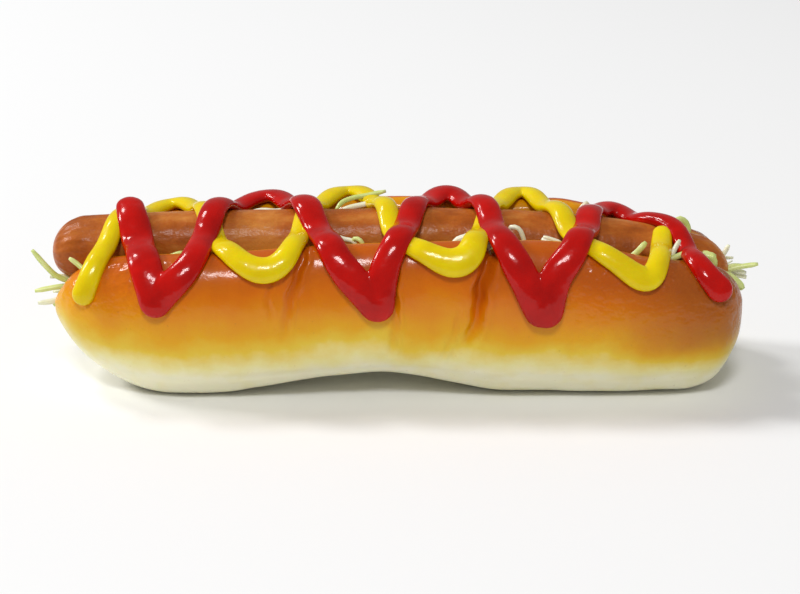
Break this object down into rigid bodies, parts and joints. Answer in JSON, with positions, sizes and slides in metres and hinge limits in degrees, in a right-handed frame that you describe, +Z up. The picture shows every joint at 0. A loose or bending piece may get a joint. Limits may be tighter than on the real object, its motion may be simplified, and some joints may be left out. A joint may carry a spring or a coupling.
{
  "type": "hot dog",
  "caption": "Long sausage on shredded lettuce in a soft top-split roll, with a zigzag of ketchup and a zigzag of mustard over it.",
  "frame": {"origin": "on the ground under the middle of the whole hot dog", "axes": "+X along the roll, +Y from the front wall to the rear wall, +Z up out of the roll's slot"},
  "size_m": [0.225, 0.0658, 0.0573],
  "materials": {
    "bun_crust": "soft baked crust, glossy gold on top and pale cream below",
    "sausage_skin": "fine moist casing, satin",
    "lettuce_shreds": "moist pale green and white shreds",
    "ketchup_sauce": "wet, glossy",
    "mustard_sauce": "wet, glossy"
  },
  "bodies": {
    "root": {"bun": "bun_crust", "sausage": "sausage_skin", "lettuce": "lettuce_shreds", "ketchup": "ketchup_sauce", "mustard": "mustard_sauce"}
  },
  "joints": []
}
